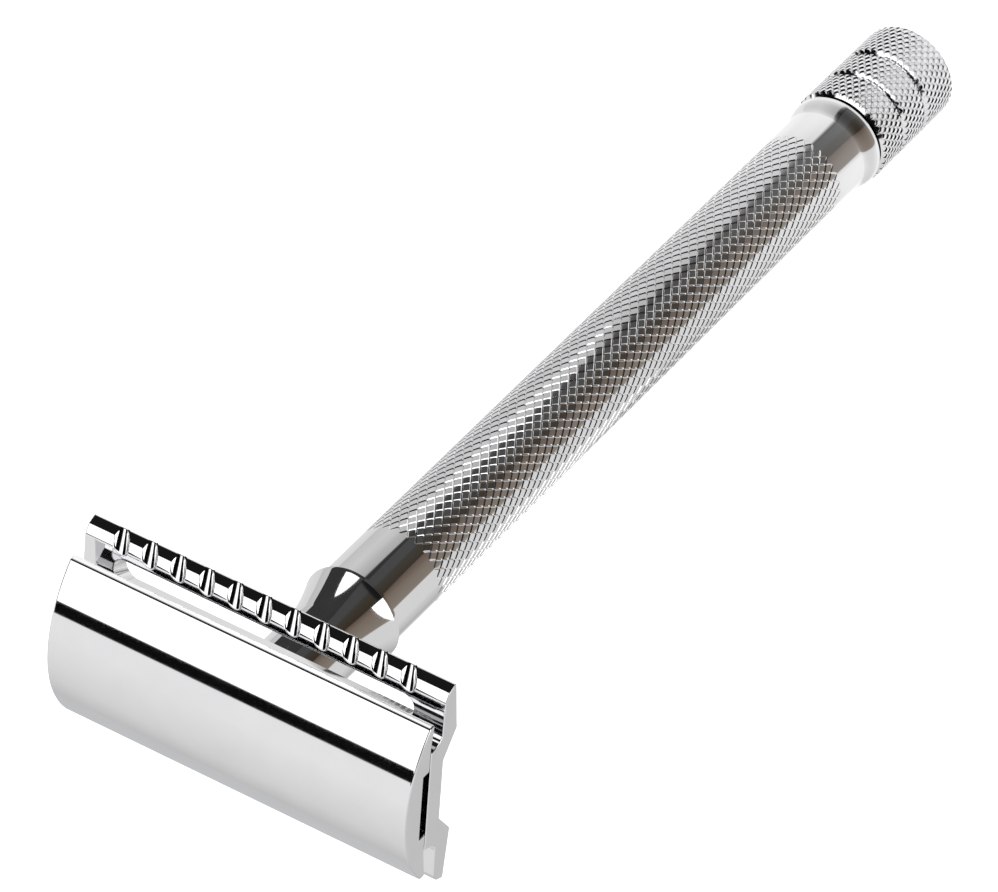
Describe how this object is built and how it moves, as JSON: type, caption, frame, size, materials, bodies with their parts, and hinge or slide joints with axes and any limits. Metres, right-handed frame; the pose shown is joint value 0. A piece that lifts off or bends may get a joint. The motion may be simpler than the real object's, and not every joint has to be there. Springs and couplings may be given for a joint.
{
  "type": "safety razor",
  "caption": "Double-edge safety razor with a closed comb, a long knurled chrome handle and a twist knob that lifts the cap to change the blade.",
  "frame": {"origin": "centre of the knob's flat end face, which the razor stands on", "axes": "+Z along the handle from the knob to the cap, X along the blade, Y across the head"},
  "size_m": [0.042, 0.0256, 0.1322],
  "materials": {
    "chrome_head": "polished chrome plate on a die-cast head",
    "chrome_handle": "polished chrome plate, diamond knurl on the grip",
    "chrome_knob": "chrome plate over fine knurled bands",
    "steel": "turned bright steel",
    "spring_steel": "blued spring steel",
    "brass": "turned brass, lightly oiled"
  },
  "bodies": {
    "handle": {"handle_tube": "chrome_handle", "neck_sleeve": "chrome_handle", "base_plate": "chrome_head", "guide_bush": "brass", "thrust_washer": "brass", "wave_washer": "spring_steel"},
    "knob": {"end_knob": "chrome_knob", "drive_rod": "steel", "threaded_socket": "brass", "socket_pin": "steel", "retaining_ring": "spring_steel"},
    "cap": {"cap": "chrome_head", "cap_stud": "steel"}
  },
  "joints": [
    {"name": "knob_turn", "type": "hinge", "parent": "handle", "child": "knob", "pos_m": [0, 0, 0.007], "axis": [0, 0, -1], "range_deg": [0, 2880]},
    {"name": "cap_lift", "type": "slide", "parent": "handle", "child": "cap", "axis": [0, 0, 1], "range_m": [0, 0.0064]}
  ],
  "couplings": [
    {"joint": "cap_lift", "follows": "knob_turn", "m_per_rad": 0.00012732}
  ]
}
